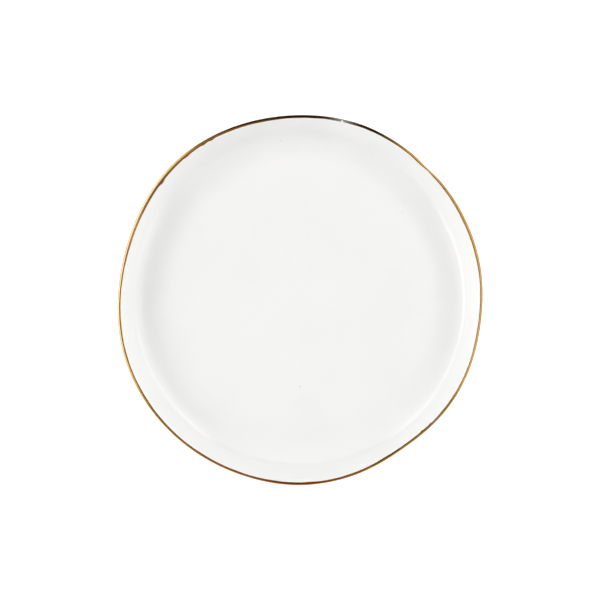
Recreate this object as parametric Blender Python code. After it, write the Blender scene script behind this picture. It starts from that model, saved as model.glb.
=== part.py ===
"""China dinner plate with a gold-painted lip, as the layers it is really made of.

The pieces are the fired clay body with its bare foot ring, the coat of glaze that runs from the
well over the lip and down to the foot, the separate glaze inside the foot, and the gold line.

Metres, +Z up. The origin is on the table, in the middle of the foot ring.
Run it with: blender --background --python part.py
"""

import math

import bmesh
import bpy

# Driving dimensions, measured to the plate's finished faces.
OUTER_RADIUS = 0.1355  # over the gold line, away from the marks left by the hand
HEIGHT = 0.0244  # table to the top of the gold line
FLOOR_THICKNESS = 0.0050
FOOT_HEIGHT = 0.0026  # table to the glazed underside, inside and outside the foot ring
WALL_SLOPE = math.radians(50)  # above the horizontal
COVE_RADIUS = 0.0500  # inside, from the floor up to COVE_TURN
COVE_TURN = math.radians(21)
CORNER_RADIUS = 0.0100  # inside, from there up to the wall's slope
HEEL_RADIUS = 0.0340  # outside, from the wall down to the underside
LIP_RADIUS = 0.0014  # half the glazed wall's thickness, and its rounded edge

FOOT_OUTER_RADIUS = 0.0965
FOOT_WIDTH = 0.0060
FOOT_CHAMFER = 0.0008

GLAZE_THICKNESS = 0.0003
GOLD_THICKNESS = 0.00025
GAP = 0.0003  # between one layer and the next
GOLD_INNER_ANGLE = math.radians(104)  # where the gold ends round the lip: 90 degrees is its top
GOLD_OUTER_ANGLE = math.radians(-40)

# The lip was eased in and out by hand while the clay was soft. Each line of HAND_MARKS is the
# direction of a bulge or a dent in degrees from +X, how far it stands out in metres, and how wide
# it spreads in degrees.
HAND_MARKS = (
    (46, -0.0008, 4.3),
    (71, 0.0011, 15),
    (129, 0.0011, 20),
    (168, -0.0031, 24),
    (193, 0.0004, 42),
    (269, 0.0007, 13),
    (305, -0.0021, 14),
    (353, -0.0012, 15),
)
LIP_WAVES = ((3, 0.00030, 40), (5, 0.00015, 110))  # lobes, metres up and down, degrees

# Steps of each curve, and of a turn about the Z axis.
COVE_STEPS = 3
CORNER_STEPS = 3
LIP_STEPS = 5
HEEL_STEPS = 4
TURN_STEPS = 90
SMOOTH_BELOW = math.radians(40)

# Worked out from the dimensions above.
FLOOR_TOP = FOOT_HEIGHT + FLOOR_THICKNESS
FOOT_INNER_RADIUS = FOOT_OUTER_RADIUS - FOOT_WIDTH
BODY_DEPTH = GLAZE_THICKNESS + GAP
GOLD_RISE = GAP + GOLD_THICKNESS
LIP_CENTRE_RADIUS = OUTER_RADIUS - GOLD_RISE - LIP_RADIUS
LIP_CENTRE_HEIGHT = HEIGHT - GOLD_RISE - LIP_RADIUS


class Outline:
    """A section drawn in the plane of radius and height, by running straight and bending round.
    It starts level and outward, and the clay is on its right."""

    def __init__(self, radius, height):
        self.points = [(radius, height)]
        self.headings = [0.0]

    def run(self, length):
        radius, height = self.points[-1]
        heading = self.headings[-1]
        self.points.append(
            (radius + length * math.cos(heading), height + length * math.sin(heading))
        )
        self.headings.append(heading)

    def bend(self, arc_radius, turn, steps):
        """Goes round an arc. A positive turn is to the left."""
        reach = math.copysign(arc_radius, turn)
        radius, height = self.points[-1]
        start = self.headings[-1]
        centre = (radius - reach * math.sin(start), height + reach * math.cos(start))
        for i in range(1, steps + 1):
            heading = start + turn * i / steps
            self.points.append(
                (centre[0] + reach * math.sin(heading), centre[1] - reach * math.cos(heading))
            )
            self.headings.append(heading)

    def at_depth(self, depth):
        """The outline's points moved that far into the clay."""
        return [
            (radius + depth * math.sin(heading), height - depth * math.cos(heading))
            for (radius, height), heading in zip(self.points, self.headings)
        ]


def glazed_outline():
    """The glazed surface, from the floor's edge over the lip to the foot ring. The straight walls
    are as long as it takes to bring the lip to its place."""
    slope_run, slope_rise = math.cos(WALL_SLOPE), math.sin(WALL_SLOPE)
    wall_top = (
        LIP_CENTRE_RADIUS - LIP_RADIUS * slope_rise,
        LIP_CENTRE_HEIGHT + LIP_RADIUS * slope_run,
    )
    bends_rise = COVE_RADIUS * (1 - math.cos(COVE_TURN))
    bends_rise += CORNER_RADIUS * (math.cos(COVE_TURN) - slope_run)
    bends_run = COVE_RADIUS * math.sin(COVE_TURN)
    bends_run += CORNER_RADIUS * (slope_rise - math.sin(COVE_TURN))
    inner_wall = (wall_top[1] - FLOOR_TOP - bends_rise) / slope_rise
    floor_radius = wall_top[0] - inner_wall * slope_run - bends_run
    outline = Outline(floor_radius, FLOOR_TOP)
    outline.bend(COVE_RADIUS, COVE_TURN, COVE_STEPS)
    outline.bend(CORNER_RADIUS, WALL_SLOPE - COVE_TURN, CORNER_STEPS)
    outline.run(inner_wall)
    outline.bend(LIP_RADIUS, -math.pi, LIP_STEPS)
    heel_height = FOOT_HEIGHT + HEEL_RADIUS * (1 - slope_run)
    outline.run((outline.points[-1][1] - heel_height) / slope_rise)
    outline.bend(HEEL_RADIUS, -WALL_SLOPE, HEEL_STEPS)
    return outline


GLAZED = glazed_outline()
WALL_FOOT_RADIUS = GLAZED.points[COVE_STEPS + CORNER_STEPS][0]


def hand_offset(direction):
    """How far the lip stands out of round in a direction, in metres."""
    offset = 0.0
    for centre, amount, spread in HAND_MARKS:
        turn = (math.degrees(direction) - centre + 180) % 360 - 180
        offset += amount * math.exp(-((turn / spread) ** 2))
    return offset


def lip_offset(direction):
    """How far the lip rises or dips in a direction, in metres."""
    return sum(
        amount * math.sin(lobes * direction + math.radians(phase))
        for lobes, amount, phase in LIP_WAVES
    )


def ease_by_hand(bm):
    """Moves the wall out of true, from nothing where it starts to the most at the lip."""
    for vertex in bm.verts:
        radius = math.hypot(vertex.co.x, vertex.co.y)
        share = (radius - WALL_FOOT_RADIUS) / (LIP_CENTRE_RADIUS - WALL_FOOT_RADIUS)
        share = min(1.0, max(0.0, share))
        direction = math.atan2(vertex.co.y, vertex.co.x)
        grown = 1 + share * hand_offset(direction) / radius
        vertex.co.x *= grown
        vertex.co.y *= grown
        vertex.co.z += share * lip_offset(direction)


def material(name, colour, roughness, metallic):
    made = bpy.data.materials.new(name)
    made.use_nodes = True
    made.diffuse_color = (*colour, 1)
    shader = made.node_tree.nodes["Principled BSDF"]
    shader.inputs["Base Color"].default_value = (*colour, 1)
    shader.inputs["Roughness"].default_value = roughness
    shader.inputs["Metallic"].default_value = metallic
    return made


def turned(name, profile, finish, is_ring=False):
    """Turns a profile about the Z axis. The two open circles of one that isn't a ring are
    filled with flat faces."""
    bm = bmesh.new()
    points = [bm.verts.new((radius, 0, height)) for radius, height in profile]
    pairs = list(zip(points, points[1:]))
    if is_ring:
        pairs.append((points[-1], points[0]))
    edges = [bm.edges.new(pair) for pair in pairs]
    bmesh.ops.spin(
        bm,
        geom=points + edges,
        axis=(0, 0, 1),
        angle=2 * math.pi,
        steps=TURN_STEPS,
        use_merge=True,
    )
    open_edges = [edge for edge in bm.edges if edge.is_boundary]
    if open_edges:
        bmesh.ops.holes_fill(bm, edges=open_edges, sides=0)
    ease_by_hand(bm)
    bmesh.ops.recalc_face_normals(bm, faces=bm.faces)
    mesh = bpy.data.meshes.new(name)
    bm.to_mesh(mesh)
    bm.free()
    mesh.shade_smooth()
    mesh.set_sharp_from_angle(angle=SMOOTH_BELOW)
    mesh.materials.append(finish)
    made = bpy.data.objects.new(name, mesh)
    bpy.context.scene.collection.objects.link(made)
    return made


def porcelain_body(finish):
    """The clay: floor, cove, wall and lip, with the foot ring that was turned from the same
    piece."""
    underside = FOOT_HEIGHT + BODY_DEPTH
    foot = [
        (FOOT_OUTER_RADIUS, underside),
        (FOOT_OUTER_RADIUS, FOOT_CHAMFER),
        (FOOT_OUTER_RADIUS - FOOT_CHAMFER, 0),
        (FOOT_INNER_RADIUS + FOOT_CHAMFER, 0),
        (FOOT_INNER_RADIUS, FOOT_CHAMFER),
        (FOOT_INNER_RADIUS, underside),
    ]
    return turned("porcelain_body", GLAZED.at_depth(BODY_DEPTH) + foot, finish)


def glaze_coat(finish):
    """The glass over the face, the lip and the outside, which stops at the foot ring."""
    edge_radius = FOOT_OUTER_RADIUS + GAP
    edge = [(edge_radius, FOOT_HEIGHT), (edge_radius, FOOT_HEIGHT + GLAZE_THICKNESS)]
    back = GLAZED.at_depth(GLAZE_THICKNESS)
    return turned("glaze_coat", GLAZED.points + edge + back[::-1], finish)


def foot_well_glaze(finish):
    """The disc of glass inside the foot ring."""
    radius = FOOT_INNER_RADIUS - GAP
    profile = [(radius, FOOT_HEIGHT), (radius, FOOT_HEIGHT + GLAZE_THICKNESS)]
    return turned("foot_well_glaze", profile, finish)


def gold_rim(finish):
    """The gold line, painted over the glaze all round the lip."""
    rows = []
    for lift in (GAP + GOLD_THICKNESS, GAP):
        row = []
        for i in range(LIP_STEPS + 1):
            turn = GOLD_INNER_ANGLE + (GOLD_OUTER_ANGLE - GOLD_INNER_ANGLE) * i / LIP_STEPS
            row.append(
                (
                    LIP_CENTRE_RADIUS + (LIP_RADIUS + lift) * math.cos(turn),
                    LIP_CENTRE_HEIGHT + (LIP_RADIUS + lift) * math.sin(turn),
                )
            )
        rows.append(row)
    face, back = rows
    return turned("gold_rim", face + back[::-1], finish, is_ring=True)


def main():
    for old in list(bpy.data.objects):
        bpy.data.objects.remove(old)
    bisque = material("bisque_porcelain", (0.83, 0.80, 0.74), 0.75, 0.0)
    glaze = material("white_glaze", (0.88, 0.88, 0.86), 0.08, 0.0)
    gold = material("gold_lustre", (0.78, 0.50, 0.17), 0.18, 1.0)
    porcelain_body(bisque)
    glaze_coat(glaze)
    foot_well_glaze(glaze)
    gold_rim(gold)


main()
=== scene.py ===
"""The looks of the china dinner plate: its glaze, its hand-painted gold line and its bare foot.

Metres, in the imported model's own frame: +Z up, the origin on the table in the middle of the foot
ring. Directions are turned from +X towards +Y.
"""

import math

import bpy
import numpy as np
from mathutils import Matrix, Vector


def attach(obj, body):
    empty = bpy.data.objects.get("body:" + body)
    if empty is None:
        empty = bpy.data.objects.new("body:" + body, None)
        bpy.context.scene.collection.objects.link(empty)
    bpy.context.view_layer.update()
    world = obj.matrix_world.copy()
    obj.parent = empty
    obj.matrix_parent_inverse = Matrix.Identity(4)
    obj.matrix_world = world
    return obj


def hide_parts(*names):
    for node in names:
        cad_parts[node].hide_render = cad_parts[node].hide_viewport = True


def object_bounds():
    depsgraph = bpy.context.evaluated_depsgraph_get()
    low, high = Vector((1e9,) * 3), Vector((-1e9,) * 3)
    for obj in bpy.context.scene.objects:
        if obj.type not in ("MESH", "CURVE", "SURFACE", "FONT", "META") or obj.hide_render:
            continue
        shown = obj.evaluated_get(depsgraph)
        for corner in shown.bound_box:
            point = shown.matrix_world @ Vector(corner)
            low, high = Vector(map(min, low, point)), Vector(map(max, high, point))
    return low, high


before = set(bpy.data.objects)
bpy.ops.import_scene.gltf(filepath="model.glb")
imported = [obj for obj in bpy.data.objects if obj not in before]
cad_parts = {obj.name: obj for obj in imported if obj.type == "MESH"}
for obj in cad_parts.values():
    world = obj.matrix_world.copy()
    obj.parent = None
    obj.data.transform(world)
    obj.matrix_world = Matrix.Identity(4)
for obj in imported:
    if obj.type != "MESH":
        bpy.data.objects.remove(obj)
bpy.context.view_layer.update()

# The plate's section, as part.py has it.
OUTER_RADIUS = 0.1355
HEIGHT = 0.0244
FLOOR_THICKNESS = 0.0050
FOOT_HEIGHT = 0.0026
WALL_SLOPE = math.radians(50)
COVE_RADIUS = 0.0500  # from the floor up to COVE_TURN
COVE_TURN = math.radians(21)
CORNER_RADIUS = 0.0100  # from there up to the wall's slope
HEEL_RADIUS = 0.0340
FOOT_OUTER_RADIUS = 0.0965
FOOT_WIDTH = 0.0060

# Not as in part.py, whose solids need room between them. Here the glaze is fused to the clay, so
# its gap only keeps the two meshes apart, and the gold is a film.
LIP_RADIUS = 0.0017
GLAZE_THICKNESS = 0.0003
LAYER_GAP = 0.00003
GOLD_LIFT = 0.000015  # under the film, clear of the glaze's facets
GOLD_THICKNESS = 0.00003
FOOT_FILLET = 0.0009  # where the glazed underside turns down the foot
FOOT_EDGE = 0.0007  # the rounded edges of the bare land
GLAZED_FOOT = 0.0009  # how far the glaze comes down the foot before it was wiped away

# Marks left by hand are lines of: direction in degrees, how far in metres, and spread in degrees.
# These move the lip in and out.
HAND_MARKS = (
    (46, -0.0008, 4.3),
    (71, 0.0011, 15),
    (129, 0.0011, 20),
    (168, -0.0031, 24),
    (193, 0.0004, 42),
    (269, 0.0007, 13),
    (305, -0.0021, 14),
    (353, -0.0012, 15),
)
# These move the gold's inner edge, which is GOLD_INNER in from the lip's top, further in or back.
GOLD_INNER = 0.00035
BRUSH_MARKS = (
    (0, -0.0002, 10),
    (27, 0.0005, 12),
    (45, -0.0006, 2.2),
    (76.4, -0.0012, 0.2),
    (96, 0.0004, 22),
    (118.7, 0.0005, 0.8),
    (121.6, 0.0006, 0.7),
    (128.1, 0.0004, 0.8),
    (139.5, 0.0011, 0.9),
    (148, 0.0016, 22),
    (190, 0.0005, 16),
    (300, 0.0003, 16),
    (313, 0.0007, 0.5),
    (316.5, 0.0006, 0.5),
)
# And these move its outer edge, which is GOLD_OUTER down the outside from the lip's top, further
# down.
GOLD_OUTER = 0.0036
OUTSIDE_MARKS = (
    (24, 0.0005, 5),
    (98, -0.0004, 8),
    (146, 0.0006, 3),
    (203, 0.0003, 12),
    (251, -0.0005, 4),
    (338, 0.0005, 6),
)
# Patches along the line: what it is like there, a share, the direction and spread in degrees, and
# how far from the lip's top the patch starts and ends, outward, in metres. The worn patches are
# real wear. The others paint light into the gold's colour: pale cream is a painted highlight, and
# dark brown and red are painted dark reflection.
GOLD_PATCHES = (
    ("painted_dark_reflection", 0.2, 2, 24, 0.0005, 0.0040),
    ("painted_dark_reflection", 0.3, 42, 14, 0.0005, 0.0040),
    ("painted_dark_reflection", 1.0, 68, 9, -0.0030, 0.0040),
    ("painted_dark_reflection", 1.0, 88, 14, -0.0030, 0.0040),
    ("painted_dark_reflection", 1.0, 108, 12, 0.0002, 0.0040),
    ("painted_dark_reflection", 0.6, 144, 11, -0.0030, -0.0007),
    ("painted_dark_reflection", 0.8, 301, 9, -0.0030, 0.0004),
    ("red", 0.9, 119, 3, -0.0030, -0.0004),
    ("red", 0.9, 129, 4, -0.0030, -0.0005),
    ("red", 1.0, 147, 13, -0.0030, -0.0006),
    ("red", 0.9, 168, 8, -0.0030, -0.0002),
    ("red", 0.5, 240, 12, -0.0030, 0.0008),
    ("red", 1.0, 270, 20, -0.0030, 0.0018),
    ("red", 0.8, 314.5, 2, -0.0030, 0.0004),
    ("painted_highlight", 0.4, 35, 18, -0.0030, 0.0002),
    ("painted_highlight", 0.9, 150, 18, -0.0004, 0.0014),
    ("painted_highlight", 0.6, 184, 16, 0.0003, 0.0030),
    ("painted_highlight", 0.6, 356, 22, -0.0030, 0.0003),
    ("worn", 1.0, 76.4, 3.0, -0.0030, 0.0040),
    ("worn", 0.55, 318.5, 2.5, -0.0030, 0.0006),
)
GOLD_KINDS = ("painted_highlight", "red", "painted_dark_reflection", "worn")
PATCH_SOFTNESS = 0.00015
GOLD_FLATNESS = 6  # the higher, the nearer to its edges the film keeps its thickness
OUTER_WANDER = 2  # times as far as the inner edge

# Waves that go round the plate: lobes, metres, phase in degrees.
LIP_WAVES = ((3, 0.00030, 40), (5, 0.00015, 110))
BRUSH_WAVES = ((7, 0.00007, 20), (13, 0.00006, 200), (29, 0.00005, 70), (61, 0.00003, 310))
WIPE_WAVES = ((5, 0.00012, 0), (11, 0.00008, 150), (23, 0.00006, 75), (47, 0.00003, 260))

# Rows along each stretch of the section, and steps round the plate.
FLOOR_STEPS = 12
COVE_STEPS = 20
CORNER_STEPS = 12
WALL_STEPS = 6
LIP_STEPS = 28
HEEL_STEPS = 16
SMALL_STEPS = 6
LAND_STEPS = 4
SHORT_STEPS = 2
HIDDEN_EVERY = 3  # faces between the glaze and the clay keep one row in three
TURN_STEPS = 480
GOLD_TURN_STEPS = 960
GOLD_STEPS = 24
SMOOTH_BELOW = math.radians(50)

# Colours, as linear red, green and blue.
GLAZE_WHITE = (0.828, 0.825, 0.812)
GLAZE_POOLED = (0.812, 0.815, 0.793)
IRON_SPECK = (0.42, 0.36, 0.28)
BISQUE = (0.72, 0.68, 0.60)
BISQUE_GRAIN = (0.57, 0.53, 0.46)
BISQUE_FLASHED = (0.66, 0.56, 0.44)
BISQUE_SCUFFED = (0.40, 0.39, 0.37)
GOLD = (0.47, 0.265, 0.045)
# Painted dark reflection: dark brown for gold where it mirrors the dark parts of the studio.
GOLD_PAINTED_DARK_REFLECTION = (0.055, 0.014, 0.001)
# Red of thin lustre. The same red is also laid on in patches as painted dark reflection.
GOLD_RED = (0.30, 0.055, 0.003)
# Painted highlight: pale cream for gold where it mirrors a bright card.
GOLD_PAINTED_HIGHLIGHT = (0.70, 0.57, 0.33)
GOLD_WORN = (0.48, 0.47, 0.43)

# How far across each surface's unevenness is and how high it stands, in metres. A range is the
# part of a noise's values over which it takes effect.
MOST_NOISE = (0.3, 0.7)
GLAZE_CLOUD_SIZE = 0.045
GLAZE_CLOUD_RANGE = (0.35, 0.7)
GLAZE_SMEAR_SIZE = 0.009
GLAZE_PEEL_SIZE = 0.0022
GLAZE_PEEL_HEIGHT = 0.0000025
GLAZE_SWELL_SIZE = 0.018
GLAZE_SWELL_HEIGHT = 0.000012
GLAZE_ROUGHNESS = (0.045, 0.085)
GLAZE_IOR = 1.52
SPECK_HEIGHT = 0.00002
SPECK_SHARE = 0.8  # how much of its own colour a speck shows through the glaze
SPECK_FADE = (1.3, 0.5)  # in the speck's radii: where it starts to show, and shows fully
SPECK_UPWARD = (0.2, 0.4)  # the normal's Z: no specks below the first, all above the second
BISQUE_GRAIN_SIZE = 0.0004
BISQUE_GRAIN_HEIGHT = 0.00006
BISQUE_GRAIN_RANGE = (0.45, 0.85)
BISQUE_SCUFF_SIZE = 0.004
BISQUE_SCUFF_RANGE = (0.5, 0.72)
BISQUE_SCUFF_SHARES = (0.1, 0.8)
BISQUE_SCUFF_HEIGHTS = (0.00028, 0.00007)  # above the table: where scuffs start, and are full
BISQUE_FLASH_HEIGHTS = (0.00021, 0.00105)  # and where the warmer colour does
BISQUE_ROUGHNESS = (0.7, 0.85)
GOLD_MOTTLE_SIZE = 0.0012
GOLD_MOTTLE_HEIGHT = 0.000006
GOLD_STROKE_SIZE = 0.009
GOLD_STROKE_SHARE = 0.25  # the most red that a brush stroke leaves
GOLD_ROUGHNESS = (0.09, 0.16)
GOLD_THIN_EDGE = (0.00045, 0.0002)  # from the edge: where it starts to redden, and is reddest
GOLD_THIN_SHARE = 0.7
GOLD_RAGGED = 0.0003  # how far the mottling shifts that
GOLD_RUBBED_RANGE = (0.2, 0.4)

# Specks in the glaze of the face: x, y and radius.
SPECKS = (
    (0.0005, -0.0645, 0.00040),
    (-0.0134, 0.1180, 0.00035),
    (0.0768, 0.0650, 0.00030),
    (-0.0957, 0.0622, 0.00030),
    (0.0064, 0.0468, 0.00025),
    (0.1143, -0.0670, 0.00025),
    (0.1201, -0.0009, 0.00020),
)

# The studio: cards that cover a part of the sky, each laid over those before it.
# Azimuth, half width, lowest and highest elevation in degrees, and radiance.
DOME = 1.40
ALL_ROUND = 180
STUDIO_CARDS = (
    (0, ALL_ROUND, 60, 95, 0.50),
    (0, ALL_ROUND, 80, 95, 0.60),
    (10, 48, 60, 80, 0.00),
    (168, 48, 60, 80, 0.30),
    (12, 42, 40, 60, 1.90),
    (168, 42, 40, 60, 1.50),
    (90, 36, 40, 60, 0.90),
    (90, 36, 12, 40, 0.06),
    (268, 58, 40, 60, 0.70),
    (268, 58, 25, 40, 0.05),
    (268, 58, 12, 25, 1.35),
    (12, 42, 12, 25, 0.70),
    (168, 42, 12, 25, 1.10),
    (-8, 22, 26, 32, 6.20),
    (34, 22, 26, 32, 8.40),
    (150, 24, 25, 32, 6.40),
    (190, 22, 22, 33, 5.70),
)
# A card fades over this many degrees to each side of its lower and upper edges, and over twice as
# many at its ends.
CARD_EDGE = 2.5

# The table, and the photographer's place over it.
TABLE_WHITE = 0.90
TABLE_GLOW = 0.35
TABLE_ROUGHNESS = 0.9
TABLE_HALF = 4.0
TABLE_DROP = 0.0001
CAMERA_ABOVE_LIP = 1.2
CAMERA_SENSOR = 36  # mm
PLATE_SHARE = 0.609333  # of the picture's width

# Worked out from the dimensions above.
FLOOR_TOP = FOOT_HEIGHT + FLOOR_THICKNESS
CLAY_DEPTH = GLAZE_THICKNESS + LAYER_GAP
LIP_RISE = GOLD_LIFT + GOLD_THICKNESS
LIP_CENTRE_RADIUS = OUTER_RADIUS - LIP_RISE - LIP_RADIUS
LIP_CENTRE_HEIGHT = HEIGHT - LIP_RISE - LIP_RADIUS


class Outline:
    """A section drawn in the plane of radius and height, by running straight and bending round.
    It starts level and outward, and the clay is on its right."""

    def __init__(self, radius, height):
        self.points = [(radius, height)]
        self.headings = [0.0]

    def run(self, length, steps):
        radius, height = self.points[-1]
        heading = self.headings[-1]
        for i in range(1, steps + 1):
            gone = length * i / steps
            self.points.append(
                (radius + gone * math.cos(heading), height + gone * math.sin(heading))
            )
            self.headings.append(heading)

    def bend(self, arc_radius, turn, steps):
        """Goes round an arc. A positive turn is to the left."""
        reach = math.copysign(arc_radius, turn)
        radius, height = self.points[-1]
        start = self.headings[-1]
        centre = (radius - reach * math.sin(start), height + reach * math.cos(start))
        for i in range(1, steps + 1):
            heading = start + turn * i / steps
            self.points.append(
                (centre[0] + reach * math.sin(heading), centre[1] - reach * math.cos(heading))
            )
            self.headings.append(heading)

    def at_depth(self, depth):
        """The outline's points moved that far into the clay."""
        return [
            (radius + depth * math.sin(heading), height - depth * math.cos(heading))
            for (radius, height), heading in zip(self.points, self.headings)
        ]


def draw_face(skin):
    """From the middle of the floor up the cove and the wall and over the lip. The straight wall is
    as long as it takes to bring the lip to its place."""
    slope_run, slope_rise = math.cos(WALL_SLOPE), math.sin(WALL_SLOPE)
    wall_top_radius = LIP_CENTRE_RADIUS - LIP_RADIUS * slope_rise
    wall_top_height = LIP_CENTRE_HEIGHT + LIP_RADIUS * slope_run
    bends_rise = COVE_RADIUS * (1 - math.cos(COVE_TURN))
    bends_rise += CORNER_RADIUS * (math.cos(COVE_TURN) - slope_run)
    bends_run = COVE_RADIUS * math.sin(COVE_TURN)
    bends_run += CORNER_RADIUS * (slope_rise - math.sin(COVE_TURN))
    wall = (wall_top_height - FLOOR_TOP - bends_rise) / slope_rise
    skin.run(wall_top_radius - wall * slope_run - bends_run, FLOOR_STEPS)
    skin.bend(COVE_RADIUS, COVE_TURN, COVE_STEPS)
    skin.bend(CORNER_RADIUS, WALL_SLOPE - COVE_TURN, CORNER_STEPS)
    skin.run(wall, WALL_STEPS)
    skin.bend(LIP_RADIUS, -math.pi, LIP_STEPS)


def draw_back(skin):
    """From the lip down the outside, under the heel, and down the foot as far as the glaze."""
    heel_height = FOOT_HEIGHT + HEEL_RADIUS * (1 - math.cos(WALL_SLOPE))
    skin.run((skin.points[-1][1] - heel_height) / math.sin(WALL_SLOPE), WALL_STEPS)
    skin.bend(HEEL_RADIUS, -WALL_SLOPE, HEEL_STEPS)
    skin.run(skin.points[-1][0] - FOOT_OUTER_RADIUS - CLAY_DEPTH - FOOT_FILLET, SHORT_STEPS)
    skin.bend(FOOT_FILLET, math.pi / 2, SMALL_STEPS)
    skin.run(GLAZED_FOOT, SHORT_STEPS)


def draw_foot(skin):
    """Down the bare rest of the foot, across its land and as far up inside it."""
    edge = FOOT_EDGE + CLAY_DEPTH
    bare_side = skin.points[-1][1] + CLAY_DEPTH - edge
    skin.run(bare_side, SHORT_STEPS)
    skin.bend(edge, -math.pi / 2, SMALL_STEPS)
    skin.run(FOOT_WIDTH - 2 * FOOT_EDGE, LAND_STEPS)
    skin.bend(edge, -math.pi / 2, SMALL_STEPS)
    skin.run(bare_side, SHORT_STEPS)


def draw_foot_well(skin):
    """Up the glazed inside of the foot and in to the middle of the underside."""
    skin.run(GLAZED_FOOT, SHORT_STEPS)
    skin.bend(FOOT_FILLET, math.pi / 2, SMALL_STEPS)
    skin.run(skin.points[-1][0], FLOOR_STEPS)


SKIN = Outline(0, FLOOR_TOP)
draw_face(SKIN)
draw_back(SKIN)
OUTER_GLAZE_END = len(SKIN.points)
draw_foot(SKIN)
INNER_GLAZE_START = len(SKIN.points) - 1
draw_foot_well(SKIN)
WALL_FOOT_RADIUS = SKIN.points[FLOOR_STEPS + COVE_STEPS + CORNER_STEPS][0]


def around(direction, marks):
    """The marks added up in each direction."""
    total = np.zeros_like(direction)
    for centre, amount, spread in marks:
        turn = (np.degrees(direction) - centre + 180) % 360 - 180
        total += amount * np.exp(-((turn / spread) ** 2))
    return total


def waves(direction, rows):
    """The waves added up in each direction."""
    return sum(
        size * np.sin(lobes * direction + math.radians(phase)) for lobes, size, phase in rows
    )


def ease_by_hand(points):
    """Moves the wall out of true, from nothing where it starts to the most at the lip."""
    x, y, z = points[..., 0], points[..., 1], points[..., 2]
    radius = np.hypot(x, y)
    direction = np.arctan2(y, x)
    share = np.clip((radius - WALL_FOOT_RADIUS) / (LIP_CENTRE_RADIUS - WALL_FOOT_RADIUS), 0, 1)
    grown = 1 + share * around(direction, HAND_MARKS) / np.maximum(radius, WALL_FOOT_RADIUS)
    return np.stack([x * grown, y * grown, z + share * waves(direction, LIP_WAVES)], axis=-1)


def wipe_unevenly(points):
    """Lets the glaze's edge on the foot wander up and down, as a wet sponge leaves it."""
    x, y, z = points[..., 0], points[..., 1], points[..., 2]
    share = np.clip((FOOT_HEIGHT - z) / (FOOT_FILLET + GLAZED_FOOT), 0, 1)
    lift = share**2 * waves(np.arctan2(y, x), WIPE_WAVES)
    return np.stack([x, y, z + lift], axis=-1)


def mesh_object(name, vertices, faces, finish):
    mesh = bpy.data.meshes.new(name)
    mesh.from_pydata(vertices.tolist(), [], faces)
    mesh.materials.append(finish)
    mesh.shade_smooth()
    mesh.set_sharp_from_angle(angle=SMOOTH_BELOW)
    made = bpy.data.objects.new(name, mesh)
    bpy.context.scene.collection.objects.link(made)
    return made


def turned(name, section, finish, is_glaze):
    """Turns a section, from the axis or back to it, about the Z axis. A point on the axis becomes
    one vertex, and a glaze gets its uneven edge."""
    on_axis = 1e-9
    angles = np.arange(TURN_STEPS) * 2 * math.pi / TURN_STEPS
    vertices = []
    rows = []
    for radius, height in section:
        first = len(vertices)
        if radius < on_axis:
            rows.append([first] * TURN_STEPS)
            vertices.append((0.0, 0.0, height))
        else:
            rows.append(list(range(first, first + TURN_STEPS)))
            vertices.extend((radius * math.cos(a), radius * math.sin(a), height) for a in angles)
    faces = []
    for near, far in zip(rows, rows[1:]):
        for i in range(TURN_STEPS):
            j = (i + 1) % TURN_STEPS
            corners = (near[i], far[i], far[j], near[j])
            faces.append(tuple(dict.fromkeys(corners)))
    points = ease_by_hand(np.array(vertices))
    if is_glaze:
        points = wipe_unevenly(points)
    return mesh_object(name, points, faces, finish)


def bead(face_end, back_end):
    """The glaze's rounded edge, hanging down between its face and its back."""
    face_end, back_end = np.array(face_end), np.array(back_end)
    middle = (face_end + back_end) / 2
    half = face_end - middle
    hang = np.array([0, -np.linalg.norm(half)])
    turns = np.linspace(0, math.pi, SMALL_STEPS + 1)[1:-1]
    return [tuple(middle + half * math.cos(t) + hang * math.sin(t)) for t in turns]


def porcelain_body(finish):
    """The clay, with fewer rows where the glaze hides it."""
    clay = SKIN.at_depth(CLAY_DEPTH)
    under_face = clay[: OUTER_GLAZE_END - 1 : HIDDEN_EVERY]
    foot = clay[OUTER_GLAZE_END - 1 : INNER_GLAZE_START + 1]
    under_well = clay[:INNER_GLAZE_START:-HIDDEN_EVERY][::-1]
    return turned("plate_clay", [*under_face, *foot, *under_well], finish, is_glaze=False)


def glaze_coat(finish):
    """The glass from the middle of the face over the lip and down to the foot."""
    face = SKIN.points[:OUTER_GLAZE_END]
    back = SKIN.at_depth(GLAZE_THICKNESS)[:OUTER_GLAZE_END]
    hidden = [*back[:-1:HIDDEN_EVERY], back[-1]]
    section = [*face, *bead(face[-1], back[-1]), *hidden[::-1]]
    return turned("plate_glaze", section, finish, is_glaze=True)


def foot_well_glaze(finish):
    """The glass inside the foot ring."""
    face = SKIN.points[INNER_GLAZE_START:]
    back = SKIN.at_depth(GLAZE_THICKNESS)[INNER_GLAZE_START:]
    hidden = [*back[:0:-HIDDEN_EVERY], back[0]]
    section = [*hidden, *bead(back[0], face[0]), *face]
    return turned("foot_glaze", section, finish, is_glaze=True)


def over_lip(distance, lift):
    """A point over the lip: how far out from its top along the glaze, and how far off it."""
    turn = np.clip(distance / LIP_RADIUS, -WALL_SLOPE, math.pi - WALL_SLOPE)
    straight = distance - turn * LIP_RADIUS
    reach = LIP_RADIUS + lift
    radius = LIP_CENTRE_RADIUS + reach * np.sin(turn) + straight * np.cos(turn)
    height = LIP_CENTRE_HEIGHT + reach * np.cos(turn) - straight * np.sin(turn)
    return radius, height


def patches(kind, direction, distance):
    """How strongly the gold is of that kind, at a distance outward from the lip's top."""
    total = 0.0
    for name, share, centre, spread, start, end in GOLD_PATCHES:
        if name == kind:
            after = 1 / (1 + np.exp((start - distance) / PATCH_SOFTNESS))
            before = 1 / (1 + np.exp((distance - end) / PATCH_SOFTNESS))
            total = total + around(direction, [(centre, share, spread)]) * after * before
    return np.clip(total, 0, 1)


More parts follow.
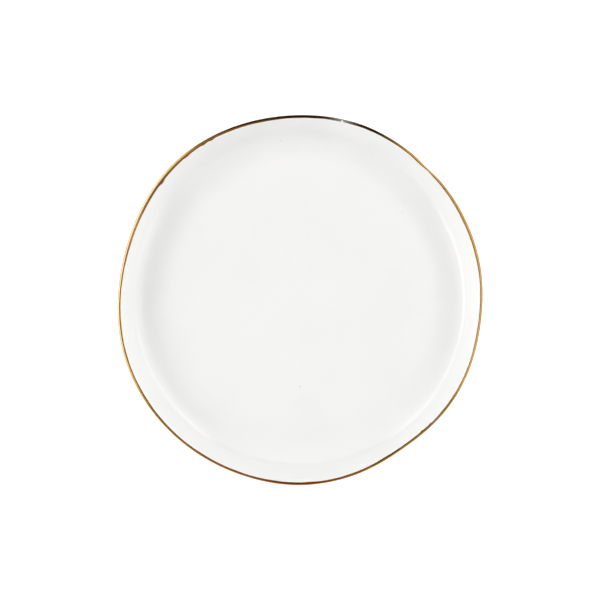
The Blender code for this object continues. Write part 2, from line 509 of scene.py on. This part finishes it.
def gold_rim(finish):
    """The gold line: a film over the lip between two edges that wander as the brush did."""
    angles = np.arange(GOLD_TURN_STEPS) * 2 * math.pi / GOLD_TURN_STEPS
    wander = waves(angles, BRUSH_WAVES)
    inner = -(GOLD_INNER + wander + around(angles, BRUSH_MARKS))
    outer = GOLD_OUTER - OUTER_WANDER * wander[::-1] + around(angles, OUTSIDE_MARKS)
    shares = np.linspace(0, 1, GOLD_STEPS + 1)
    shares = np.concatenate([shares, shares[::-1]])
    lifts = GOLD_LIFT + GOLD_THICKNESS * (1 - (2 * shares - 1) ** GOLD_FLATNESS)
    lifts[GOLD_STEPS + 1 :] = GOLD_LIFT / 2
    distance = inner + (outer - inner) * shares[:, None]
    radius, height = over_lip(distance, lifts[:, None])
    points = ease_by_hand(np.stack([radius * np.cos(angles), radius * np.sin(angles), height], -1))
    faces = []
    for i in range(len(shares)):
        near, far = i * GOLD_TURN_STEPS, (i + 1) % len(shares) * GOLD_TURN_STEPS
        for j in range(GOLD_TURN_STEPS):
            k = (j + 1) % GOLD_TURN_STEPS
            faces.append((near + j, far + j, far + k, near + k))
    made = mesh_object("gold_line", points.reshape(-1, 3), faces, finish)
    # Patch strengths: painted highlight, painted dark reflection, and real wear.
    values = {kind: patches(kind, angles, distance) for kind in GOLD_KINDS}
    values["from_edge"] = np.minimum(distance - inner, outer - distance)
    for name, value in values.items():
        made.data.attributes.new(name, "FLOAT", "POINT").data.foreach_set("value", value.ravel())
    return made


def add(tree, kind, inputs=None, **settings):
    """Adds a node. An input is given as another node's output or as a plain value."""
    made = tree.nodes.new(kind)
    for name, value in settings.items():
        setattr(made, name, value)
    for name, value in (inputs or {}).items():
        if isinstance(value, bpy.types.NodeSocket):
            tree.links.new(value, made.inputs[name])
        else:
            made.inputs[name].default_value = value
    return made


def calc(tree, operation, first, second=0.0):
    return add(tree, "ShaderNodeMath", {0: first, 1: second}, operation=operation).outputs[0]


def measure(tree, operation, first, second=(0, 0, 0)):
    return add(tree, "ShaderNodeVectorMath", {0: first, 1: second}, operation=operation)


def blend(tree, share, first, second):
    return add(tree, "ShaderNodeMix", {0: share, 2: first, 3: second}).outputs[0]


def tint(tree, share, first, second):
    """A colour between two. Either one may be another node's output."""
    if not isinstance(first, bpy.types.NodeSocket):
        first = (*first, 1)
    if not isinstance(second, bpy.types.NodeSocket):
        second = (*second, 1)
    colours = {0: share, 6: first, 7: second}
    return add(tree, "ShaderNodeMix", colours, data_type="RGBA").outputs[2]


def fade(tree, value, start, end, low=0.0, high=1.0):
    """Goes smoothly from low to high while the value goes from start to end."""
    inputs = {"Value": value, "From Min": start, "From Max": end, "To Min": low, "To Max": high}
    made = add(tree, "ShaderNodeMapRange", inputs, interpolation_type="SMOOTHSTEP")
    return made.outputs["Result"]


def noise(tree, place, size, detail=2.0, roughness=0.5):
    """Noise whose features are about that many metres across."""
    inputs = {"Vector": place, "Scale": 1 / size, "Detail": detail, "Roughness": roughness}
    return add(tree, "ShaderNodeTexNoise", inputs).outputs["Fac"]


def new_material(name):
    made = bpy.data.materials.new(name)
    made.use_nodes = True
    tree = made.node_tree
    shader = tree.nodes["Principled BSDF"]
    place = add(tree, "ShaderNodeTexCoord").outputs["Object"]
    return made, tree, shader, place


def wire(tree, shader, colour, roughness, height):
    """Joins the shader up. The height is how far the surface stands out, in metres."""
    tree.links.new(colour, shader.inputs["Base Color"])
    tree.links.new(roughness, shader.inputs["Roughness"])
    bump = add(tree, "ShaderNodeBump", {"Height": height, "Distance": 1.0, "Strength": 1.0})
    tree.links.new(bump.outputs["Normal"], shader.inputs["Normal"])


def speck_mask(tree, place):
    """1 on the specks of the face and 0 elsewhere."""
    flat = measure(tree, "MULTIPLY", place, (1, 1, 0)).outputs[0]
    specks = 0.0
    for x, y, radius in SPECKS:
        away = measure(tree, "DISTANCE", flat, (x, y, 0)).outputs["Value"]
        start, full = (radius * share for share in SPECK_FADE)
        specks = calc(tree, "MAXIMUM", specks, fade(tree, away, start, full))
    normal = add(tree, "ShaderNodeNewGeometry").outputs["Normal"]
    upward = add(tree, "ShaderNodeSeparateXYZ", {0: normal}).outputs["Z"]
    return calc(tree, "MULTIPLY", specks, fade(tree, upward, *SPECK_UPWARD))


def glaze_material():
    """Clear gloss over white clay: faint clouds where it lies thicker, and a skin like orange
    peel."""
    made, tree, shader, place = new_material("glaze")
    clouds = noise(tree, place, GLAZE_CLOUD_SIZE, detail=3)
    specks = speck_mask(tree, place)
    white = tint(tree, fade(tree, clouds, *GLAZE_CLOUD_RANGE), GLAZE_WHITE, GLAZE_POOLED)
    colour = tint(tree, calc(tree, "MULTIPLY", specks, SPECK_SHARE), white, IRON_SPECK)
    smears = noise(tree, place, GLAZE_SMEAR_SIZE, detail=4)
    roughness = fade(tree, smears, *MOST_NOISE, *GLAZE_ROUGHNESS)
    peel = calc(tree, "MULTIPLY", noise(tree, place, GLAZE_PEEL_SIZE), GLAZE_PEEL_HEIGHT)
    swell = calc(tree, "MULTIPLY", noise(tree, place, GLAZE_SWELL_SIZE), GLAZE_SWELL_HEIGHT)
    skin = calc(tree, "ADD", peel, swell)
    height = calc(tree, "ADD", skin, calc(tree, "MULTIPLY", specks, SPECK_HEIGHT))
    wire(tree, shader, colour, roughness, height)
    shader.inputs["IOR"].default_value = GLAZE_IOR
    return made


def bisque_material():
    """Bare fired clay: fine grain, warmer beside the glaze, and scuffed grey on the land."""
    made, tree, shader, place = new_material("bisque")
    grain = noise(tree, place, BISQUE_GRAIN_SIZE, detail=4, roughness=0.7)
    scuffs = noise(tree, place, BISQUE_SCUFF_SIZE, detail=5, roughness=0.65)
    height = add(tree, "ShaderNodeSeparateXYZ", {0: place}).outputs["Z"]
    flash = fade(tree, height, *BISQUE_FLASH_HEIGHTS)
    on_land = fade(tree, height, *BISQUE_SCUFF_HEIGHTS)
    scuffed = fade(tree, scuffs, *BISQUE_SCUFF_RANGE, *BISQUE_SCUFF_SHARES)
    scuffed = calc(tree, "MULTIPLY", on_land, scuffed)
    colour = tint(tree, flash, BISQUE, BISQUE_FLASHED)
    colour = tint(tree, scuffed, colour, BISQUE_SCUFFED)
    colour = tint(tree, fade(tree, grain, *BISQUE_GRAIN_RANGE), colour, BISQUE_GRAIN)
    roughness = fade(tree, scuffs, *MOST_NOISE, *BISQUE_ROUGHNESS)
    wire(tree, shader, colour, roughness, calc(tree, "MULTIPLY", grain, BISQUE_GRAIN_HEIGHT))
    return made


def painted(tree, name):
    """A value that gold_rim stored on the gold's own vertices."""
    return add(tree, "ShaderNodeAttribute", attribute_name=name).outputs["Fac"]


def gold_material():
    """Gold lustre laid on with a brush: red where the film is thin, and rubbed down to silver grey
    in the worn places. In patches its colour holds painted light: a pale cream painted highlight,
    and painted dark reflection in dark brown and in red."""
    made, tree, shader, place = new_material("gold_lustre")
    mottle = noise(tree, place, GOLD_MOTTLE_SIZE, detail=3)
    stroke = noise(tree, place, GOLD_STROKE_SIZE)
    ragged = calc(tree, "MULTIPLY", mottle, GOLD_RAGGED)
    ragged = calc(tree, "ADD", painted(tree, "from_edge"), ragged)
    thin = fade(tree, ragged, *GOLD_THIN_EDGE, 0.0, GOLD_THIN_SHARE)
    stroke = fade(tree, stroke, *MOST_NOISE, 0.0, GOLD_STROKE_SHARE)
    colour = tint(tree, stroke, GOLD, GOLD_RED)
    # Painted highlight, in patches.
    colour = tint(tree, painted(tree, "painted_highlight"), colour, GOLD_PAINTED_HIGHLIGHT)
    colour = tint(tree, thin, colour, GOLD_RED)
    # Painted dark reflection, in red patches and then in dark brown patches.
    colour = tint(tree, painted(tree, "red"), colour, GOLD_RED)
    colour = tint(tree, painted(tree, "painted_dark_reflection"), colour, GOLD_PAINTED_DARK_REFLECTION)
    rubbed = fade(tree, mottle, *GOLD_RUBBED_RANGE)
    rubbed = calc(tree, "MULTIPLY", painted(tree, "worn"), rubbed)
    colour = tint(tree, rubbed, colour, GOLD_WORN)
    roughness = fade(tree, mottle, *MOST_NOISE, *GOLD_ROUGHNESS)
    wire(tree, shader, colour, roughness, calc(tree, "MULTIPLY", mottle, GOLD_MOTTLE_HEIGHT))
    shader.inputs["Metallic"].default_value = 1.0
    return made


def card_mask(tree, elevation, ray, azimuth, half_width, low, high):
    """1 in the part of the sky that a card covers."""
    rising = fade(tree, elevation, low - CARD_EDGE, low + CARD_EDGE)
    falling = fade(tree, elevation, high + CARD_EDGE, high - CARD_EDGE)
    band = calc(tree, "MULTIPLY", rising, falling)
    if half_width == ALL_ROUND:
        return band
    facing = (math.cos(math.radians(azimuth)), math.sin(math.radians(azimuth)), 0)
    level = measure(tree, "MULTIPLY", ray, (1, 1, 0)).outputs[0]
    level = measure(tree, "NORMALIZE", level).outputs[0]
    towards = measure(tree, "DOT_PRODUCT", level, facing).outputs["Value"]
    outside = math.cos(math.radians(half_width + 2 * CARD_EDGE))
    inside = math.cos(math.radians(half_width - 2 * CARD_EDGE))
    return calc(tree, "MULTIPLY", band, fade(tree, towards, outside, inside))


def build_studio():
    """Light from cards all round, with plain white behind everything that the camera sees."""
    world = bpy.data.worlds.new("studio")
    world.use_nodes = True
    tree = world.node_tree
    ray = add(tree, "ShaderNodeTexCoord").outputs["Generated"]
    upward = add(tree, "ShaderNodeSeparateXYZ", {0: ray}).outputs["Z"]
    elevation = calc(tree, "DEGREES", calc(tree, "ARCSINE", upward))
    sky = DOME
    for azimuth, half_width, low, high, radiance in STUDIO_CARDS:
        mask = card_mask(tree, elevation, ray, azimuth, half_width, low, high)
        sky = blend(tree, mask, sky, radiance)
    is_seen = add(tree, "ShaderNodeLightPath").outputs["Is Camera Ray"]
    background = tree.nodes["Background"]
    background.inputs["Color"].default_value = (1, 1, 1, 1)
    tree.links.new(blend(tree, is_seen, sky, 1.0), background.inputs["Strength"])
    bpy.context.scene.world = world


def build_table():
    corners = [(-1, -1), (1, -1), (1, 1), (-1, 1)]
    vertices = np.array([(x * TABLE_HALF, y * TABLE_HALF, -TABLE_DROP) for x, y in corners])
    white = bpy.data.materials.new("table_white")
    white.use_nodes = True
    shader = white.node_tree.nodes["Principled BSDF"]
    shader.inputs["Base Color"].default_value = (TABLE_WHITE, TABLE_WHITE, TABLE_WHITE, 1)
    shader.inputs["Roughness"].default_value = TABLE_ROUGHNESS
    shader.inputs["Specular IOR Level"].default_value = 0.0
    shader.inputs["Emission Color"].default_value = (1, 1, 1, 1)
    is_seen = add(white.node_tree, "ShaderNodeLightPath").outputs["Is Camera Ray"]
    glow = calc(white.node_tree, "MULTIPLY", is_seen, TABLE_GLOW)
    white.node_tree.links.new(glow, shader.inputs["Emission Strength"])
    mesh_object("table", vertices, [(0, 1, 2, 3)], white)


def build_camera():
    """Looks straight down on the middle of the plate."""
    low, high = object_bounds()
    data = bpy.data.cameras.new("camera")
    data.sensor_width = CAMERA_SENSOR
    data.lens = CAMERA_SENSOR * CAMERA_ABOVE_LIP * PLATE_SHARE / (high.x - low.x)
    made = bpy.data.objects.new("camera", data)
    made.location = ((low.x + high.x) / 2, (low.y + high.y) / 2, HEIGHT + CAMERA_ABOVE_LIP)
    bpy.context.scene.collection.objects.link(made)
    bpy.context.scene.camera = made


glaze = glaze_material()
pieces = (
    (porcelain_body(bisque_material()), "porcelain_body", "bisque_porcelain"),
    (glaze_coat(glaze), "glaze_coat", "white_glaze"),
    (foot_well_glaze(glaze), "foot_well_glaze", "white_glaze"),
    (gold_rim(gold_material()), "gold_rim", "gold_lustre"),
)
for piece, node, slot in pieces:
    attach(piece, "root")
    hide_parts(node)

build_camera()
build_table()
build_studio()
bpy.context.scene.view_settings.view_transform = "Standard"
